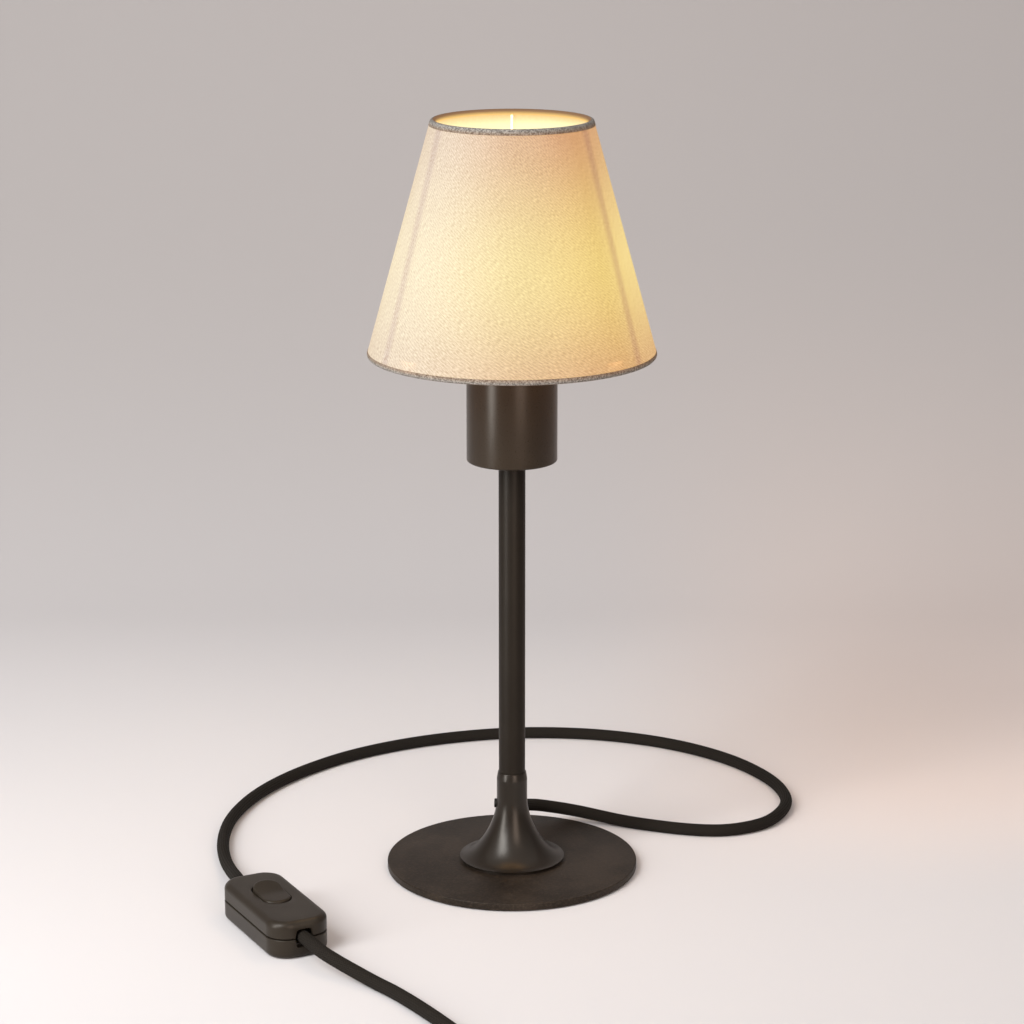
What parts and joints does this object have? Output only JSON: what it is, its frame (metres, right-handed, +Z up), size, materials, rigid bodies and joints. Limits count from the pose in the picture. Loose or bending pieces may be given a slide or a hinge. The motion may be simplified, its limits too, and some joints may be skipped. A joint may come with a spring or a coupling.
{
  "type": "table lamp",
  "caption": "Small table lamp: round base, trumpet foot, thin pole, cylindrical lampholder cup, conical fabric shade, and a textile cord with an in-line rocker switch and plug.",
  "frame": {"origin": "on the table, under the pole's axis, at the underside of the base pad", "axes": "+Z up along the pole; -Y to the front, the side the picture was taken from; +X to the lamp's right in that view"},
  "size_m": [0.2877, 0.5161, 0.361],
  "materials": {
    "base_paint": "fine matt texture coat, very dark brown",
    "foot_paint": "satin, very dark bronze brown",
    "pole_paint": "satin, very dark bronze brown",
    "cup_bronze": "satin dark bronze",
    "zinc_steel": "zinc plated",
    "zinc_screws": "zinc plated",
    "base_felt": "pressed felt",
    "black_nylon": "matt nylon",
    "holder_plastic": "satin moulded thermoset",
    "holder_brass": "stamped",
    "bulb_glass": "opal",
    "bulb_cap_metal": "rolled",
    "shade_cloth": "off-white twill on a clear backing",
    "shade_tape": "grey-beige edging tape",
    "frame_wire": "white powder coat",
    "cord_textile": "braided textile cover",
    "switch_plastic": "satin moulded",
    "plug_plastic": "satin moulded",
    "plug_metal": "nickel plated, with black sleeves"
  },
  "bodies": {
    "lamp": {"base_disc": "base_paint", "base_pad": "base_felt", "base_screw": "zinc_screws", "trumpet_foot": "foot_paint", "cord_clamp_screw": "black_nylon", "cord_strain_relief": "black_nylon", "pole_tube": "pole_paint", "top_nipple": "zinc_steel", "lampholder_cup": "cup_bronze", "lock_washer": "zinc_steel", "lock_nut": "zinc_steel", "holder_dome": "holder_plastic", "contact_block": "holder_plastic", "terminal_screw_live": "zinc_screws", "terminal_screw_neutral": "zinc_screws", "holder_sleeve": "holder_plastic", "thread_shell": "holder_brass", "centre_contact": "holder_brass", "cord_in_pole": "cord_textile", "cord_lamp_to_switch": "cord_textile", "cord_switch_to_coil": "cord_textile", "cord_coil": "cord_textile", "cord_coil_to_plug": "cord_textile", "switch_lower_shell": "switch_plastic", "switch_upper_shell": "switch_plastic", "switch_terminal_lamp_side": "holder_brass", "switch_terminal_plug_side": "holder_brass", "switch_screw_lamp_side": "zinc_screws", "switch_screw_plug_side": "zinc_screws", "plug_body": "plug_plastic", "plug_strain_relief": "plug_plastic", "plug_pin_live": "plug_metal", "plug_pin_neutral": "plug_metal"},
    "bulb": {"bulb_glass": "bulb_glass", "bulb_cap": "bulb_cap_metal", "bulb_contact": "holder_brass"},
    "shade_ring": {"shade_ring": "holder_plastic"},
    "shade": {"shade_fabric": "shade_cloth", "trim_bottom": "shade_tape", "trim_top": "shade_tape", "frame_ring_bottom": "frame_wire", "frame_ring_top": "frame_wire", "fitter_ring": "frame_wire", "frame_rib_1": "frame_wire", "frame_rib_2": "frame_wire", "frame_rib_3": "frame_wire", "frame_arm_1": "frame_wire", "frame_arm_2": "frame_wire", "frame_arm_3": "frame_wire"},
    "rocker": {"switch_rocker": "switch_plastic"},
    "moving_contact": {"switch_rocking_contact": "holder_brass"}
  },
  "joints": [
    {"name": "rocker_tilt", "type": "hinge", "parent": "lamp", "child": "rocker", "pos_m": [-0.10985, -0.08095, 0.0134], "axis": [-0.8862, -0.4633, 0], "range_deg": [0, 15.4]},
    {"name": "contact_tilt", "type": "hinge", "parent": "lamp", "child": "moving_contact", "pos_m": [-0.10985, -0.08095, 0.0062], "axis": [-0.8862, -0.4633, 0], "range_deg": [-15.4, 0]},
    {"name": "shade_ring_turn", "type": "hinge", "parent": "lamp", "child": "shade_ring", "pos_m": [0, 0, 0.2653], "axis": [0, 0, 1], "continuous": true},
    {"name": "shade_turn", "type": "hinge", "parent": "lamp", "child": "shade", "pos_m": [0, 0, 0.2625], "axis": [0, 0, 1], "continuous": true},
    {"name": "bulb_turn", "type": "hinge", "parent": "lamp", "child": "bulb", "pos_m": [0, 0, 0.255], "axis": [0, 0, 1], "continuous": true}
  ],
  "couplings": [
    {"joint": "contact_tilt", "follows": "rocker_tilt", "ratio": -1}
  ]
}
